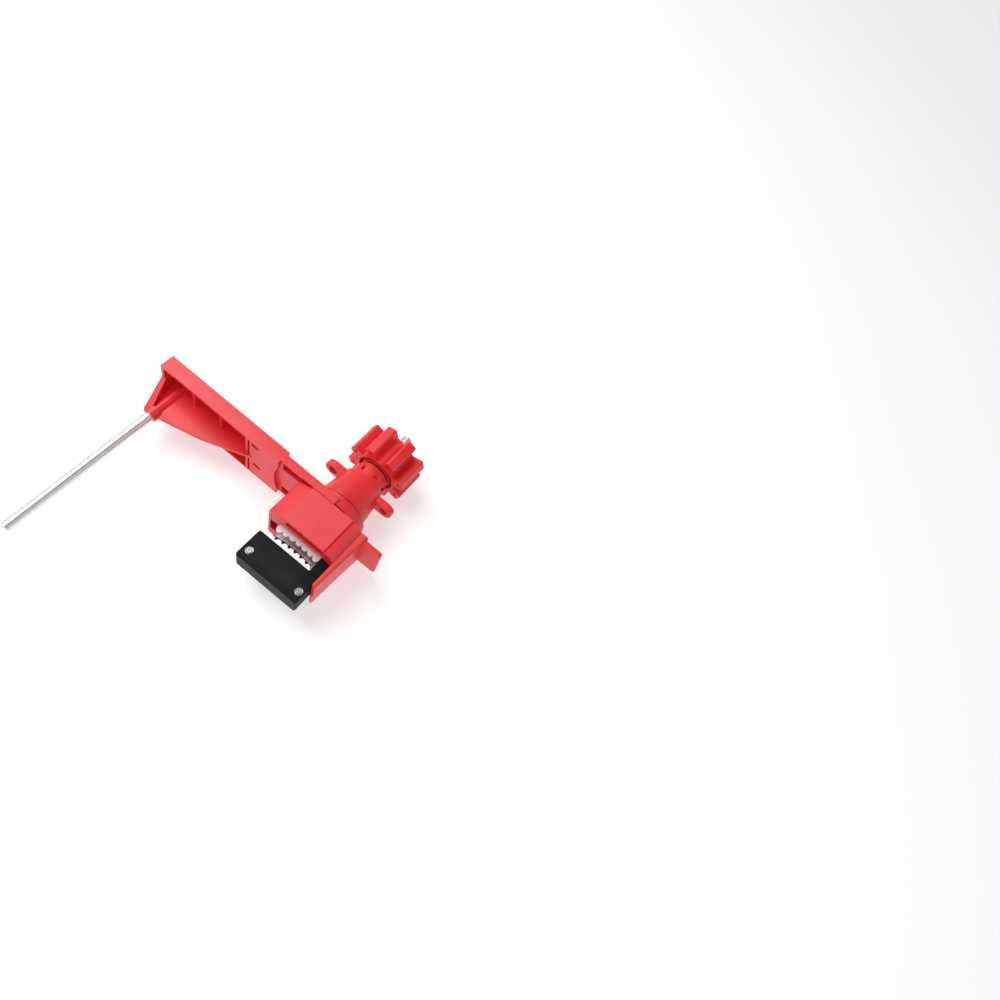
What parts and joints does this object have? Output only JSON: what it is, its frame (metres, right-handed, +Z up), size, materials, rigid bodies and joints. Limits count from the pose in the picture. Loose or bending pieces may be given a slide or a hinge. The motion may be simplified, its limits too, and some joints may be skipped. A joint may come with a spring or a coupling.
{
  "type": "universal valve lockout clamp",
  "caption": "Screw clamp lockout with toothed jaws, lobed hand knob, sliding sleeve with padlock eyes and a swinging arm that carries a steel blocking rod.",
  "frame": {"origin": "middle of the flat back face, straight below the clamp axis, at the housing's neck end", "axes": "+Z up from the back face, +Y along the clamp screw towards the knob, the arm reaches out along -X"},
  "size_m": [0.223, 0.2574, 0.056],
  "materials": {
    "red_plastic": "moulded, fine satin texture",
    "black_plastic": "glass-filled nylon, fine grain",
    "rod_steel": "drawn stainless, bright",
    "toothed_steel": "zinc plated, bright",
    "fastener_steel": "zinc plated",
    "dark_steel": "blackened spring steel",
    "brass_nut": "machined"
  },
  "bodies": {
    "clamp_body": {"housing": "red_plastic", "side_cover": "red_plastic", "side_cover_pins": "fastener_steel", "upper_teeth_front": "toothed_steel", "upper_teeth_rear": "toothed_steel", "upper_jaw_pins": "fastener_steel", "thrust_washer": "dark_steel", "arm_retaining_ring": "dark_steel", "knob_retaining_ring": "dark_steel"},
    "sleeve": {"lock_sleeve": "red_plastic"},
    "arm": {"blocking_arm": "red_plastic", "blocking_rod": "rod_steel", "rod_pin": "fastener_steel"},
    "jaw": {"jaw_block": "black_plastic", "lower_teeth_front": "toothed_steel", "lower_teeth_rear": "toothed_steel", "jaw_screws": "fastener_steel", "jaw_nuts": "fastener_steel", "clamp_screw": "rod_steel", "screw_pin": "fastener_steel"},
    "knob": {"knob": "red_plastic", "knob_nut": "brass_nut", "nut_cover": "red_plastic"}
  },
  "joints": [
    {"name": "knob_spin", "type": "hinge", "parent": "clamp_body", "child": "knob", "pos_m": [0, 0.07, 0.028], "axis": [0, 1, 0], "range_deg": [-527, 1343]},
    {"name": "jaw_slide", "type": "slide", "parent": "clamp_body", "child": "jaw", "axis": [0, 1, 0], "range_m": [-0.0112, 0.0044]},
    {"name": "arm_swing", "type": "hinge", "parent": "clamp_body", "child": "arm", "pos_m": [0, 0.007, 0.028], "axis": [0, 1, 0], "continuous": true},
    {"name": "sleeve_slide", "type": "slide", "parent": "clamp_body", "child": "sleeve", "axis": [0, 1, 0], "range_m": [0, 0.011]}
  ],
  "couplings": [
    {"joint": "jaw_slide", "follows": "knob_spin", "m_per_rad": -0.00047746}
  ]
}
